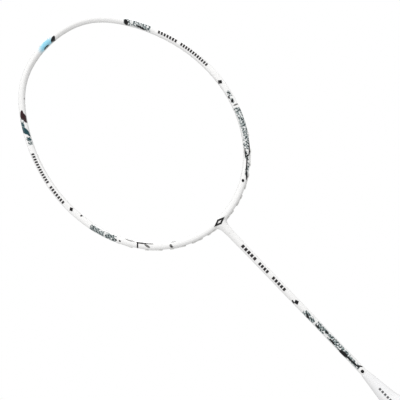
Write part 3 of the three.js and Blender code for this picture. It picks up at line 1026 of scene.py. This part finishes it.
hoop_lacquer = lacquer("hoop_lacquer", hoop_inks, 0.985)
SHARP_EDGE = 60  # degrees, on the wrapped pieces

hoop = new_object("hoop", hoop_mesh())
boolean(hoop, new_object("neck", neck_mesh()), "UNION")
boolean(hoop, drills(), "DIFFERENCE")
add("hoop", hoop, ["head_frame"], hoop_lacquer)

nylon_material = nylon()
for side_name, side in (("right", 1), ("left", -1)):
    side_holes = holes_of_side(side)
    for number in range(len(side_holes) // 2):
        node = f"grommet_{side_name}_{number + 1:02d}"
        twin = grommet("twin_" + node, side_holes[2 * number : 2 * number + 2])
        add("twin_" + node, twin, [node], nylon_material)

# It thickens softly on its last stretch below the throat.
shaft_profile = [
    (SHAFT_BORE_RADIUS, shaft_low.z),
    (SHAFT_RADIUS, shaft_low.z),
    (SHAFT_RADIUS, 372 * MM),
    (3.52 * MM, 378 * MM),
    (3.62 * MM, 388 * MM),
    (3.74 * MM, 397 * MM),
    (SHAFT_TOP_RADIUS, 404 * MM),
    (SHAFT_TOP_RADIUS, shaft_high.z),
    (SHAFT_BORE_RADIUS, shaft_high.z),
]
shaft_mesh = turned_mesh("shaft", shaft_profile, 96)
add("tapered_shaft", shaft_mesh, ["shaft"], lacquer("shaft_lacquer", shaft_inks, 0.975))
pearl = gloss_plastic("pearl_plastic", (0.83, 0.83, 0.835), (0.88, 0.88, 0.885), cone_inks)
add("cone", cone_mesh(), ["handle_cone"], pearl)
add("wound_grip", grip_mesh(), ["grip"], grip_skin(), SHARP_EDGE)
add("collar_wrap", collar_mesh(), ["grip_collar"], tape(), SHARP_EDGE)
cap_white = gloss_plastic("cap_plastic", (0.76, 0.76, 0.77), (0.82, 0.82, 0.83))
add("flared_cap", cap_mesh(), ["butt_cap"], cap_white)
add("domed_badge", badge_mesh(), ["butt_badge"], foil())

for node, material in (("handle_core", wood()), ("throat_joint", resin()), ("grip_staple", steel())):
    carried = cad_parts[node]
    carried.data.materials.clear()
    carried.data.materials.append(material)

# ---- Stage, light and camera ----
corners = [(FLOOR_REACH * x, FLOOR_REACH * y, 0) for x, y in ((-1, -1), (1, -1), (1, 1), (-1, 1))]
floor_mesh = bpy.data.meshes.new("floor")
floor_mesh.from_pydata(corners, [], [(0, 1, 2, 3)])
floor = bpy.data.objects.new("floor", floor_mesh)
bpy.context.scene.collection.objects.link(floor)
floor_mesh.materials.append(floor_paper())
floor.visible_diffuse = False
floor.visible_glossy = False

scene = bpy.context.scene
scene.view_settings.view_transform = "Standard"

# The studio's brightness: as light, in reflections, and as it is seen behind the racket.
WORLD_LIGHT = 0.65
WORLD_IN_REFLECTIONS = 0.36
PALE = 0.7
WHITE = 1.0
WHITE_WITHIN = math.radians(17.5)  # how near to +Y the backdrop is white
PALE_BEYOND = math.radians(38)  # how far from +Y it turns pale


def studio_world():
    world = bpy.data.worlds.new("studio")
    world.use_nodes = True
    tree = world.node_tree
    light_path = tree.nodes.new("ShaderNodeLightPath")

    def map_range(value, low, high):
        made = tree.nodes.new("ShaderNodeMapRange")
        tree.links.new(value, made.inputs["Value"])
        for key, end in (("To Min", low), ("To Max", high)):
            if isinstance(end, bpy.types.NodeSocket):
                tree.links.new(end, made.inputs[key])
            else:
                made.inputs[key].default_value = end
        return made

    direction = tree.nodes.new("ShaderNodeSeparateXYZ")
    tree.links.new(tree.nodes.new("ShaderNodeTexCoord").outputs["Generated"], direction.inputs[0])
    backdrop = map_range(direction.outputs["Y"], PALE, WHITE)
    backdrop.interpolation_type = "SMOOTHSTEP"
    backdrop.inputs["From Min"].default_value = math.cos(PALE_BEYOND)
    backdrop.inputs["From Max"].default_value = math.cos(WHITE_WITHIN)
    unseen = map_range(light_path.outputs["Is Glossy Ray"], WORLD_LIGHT, WORLD_IN_REFLECTIONS)
    strength = map_range(light_path.outputs["Is Camera Ray"], unseen.outputs[0], backdrop.outputs[0])
    background = tree.nodes["Background"]
    tree.links.new(strength.outputs[0], background.inputs["Strength"])
    background.inputs["Color"].default_value = (1, 1, 1, 1)
    return world


scene.world = studio_world()


def area_light(name, place, target, size, power, in_reflections):
    lamp = bpy.data.lights.new(name, "AREA")
    lamp.shape = "SQUARE"
    lamp.size = size
    lamp.energy = power
    holder = bpy.data.objects.new(name, lamp)
    scene.collection.objects.link(holder)
    holder.location = place
    holder.rotation_mode = "QUATERNION"
    holder.rotation_quaternion = (Vector(target) - Vector(place)).to_track_quat("-Z", "Y")
    holder.visible_camera = False
    holder.visible_glossy = in_reflections


area_light("key", (1.5, -1.1, 2.15), (0, 0, 0.45), 1.0, 34, False)
area_light("fill", (-1.8, -0.9, 1.3), (0, 0, 0.45), 1.4, 15, True)
area_light("bounce", (0.5, -1.0, 0.05), (0, 0, 0.45), 1.0, 2.4, False)
area_light("back", (0.6, 1.8, 1.7), (0, 0, 0.4), 1.4, 22, True)

AIM_ASIDE = 1.05 * MM
AIM_BELOW_HEAD = 95.07 * MM  # below the middle of the head
CAMERA_DISTANCE = 1.2
CAMERA_LENS = 109.8
CAMERA_LOOKS_UP = math.radians(4)
RACKET_LEANS_LEFT = math.radians(43.81)
aim = Vector((AIM_ASIDE, 0, hoop_middle - AIM_BELOW_HEAD))
forward = Vector((0, math.cos(CAMERA_LOOKS_UP), math.sin(CAMERA_LOOKS_UP)))
level_right = Vector((1, 0, 0))
level_up = level_right.cross(forward)
lean_cos, lean_sin = math.cos(RACKET_LEANS_LEFT), math.sin(RACKET_LEANS_LEFT)
right = level_right * lean_cos - level_up * lean_sin
up = level_up * lean_cos + level_right * lean_sin
camera_data = bpy.data.cameras.new("camera")
camera_data.lens = CAMERA_LENS
camera_data.sensor_width = 36
camera = bpy.data.objects.new("camera", camera_data)
scene.collection.objects.link(camera)
camera_turn = Matrix((right, up, -forward)).transposed().to_4x4()
camera.matrix_world = Matrix.Translation(aim - forward * CAMERA_DISTANCE) @ camera_turn
scene.camera = camera
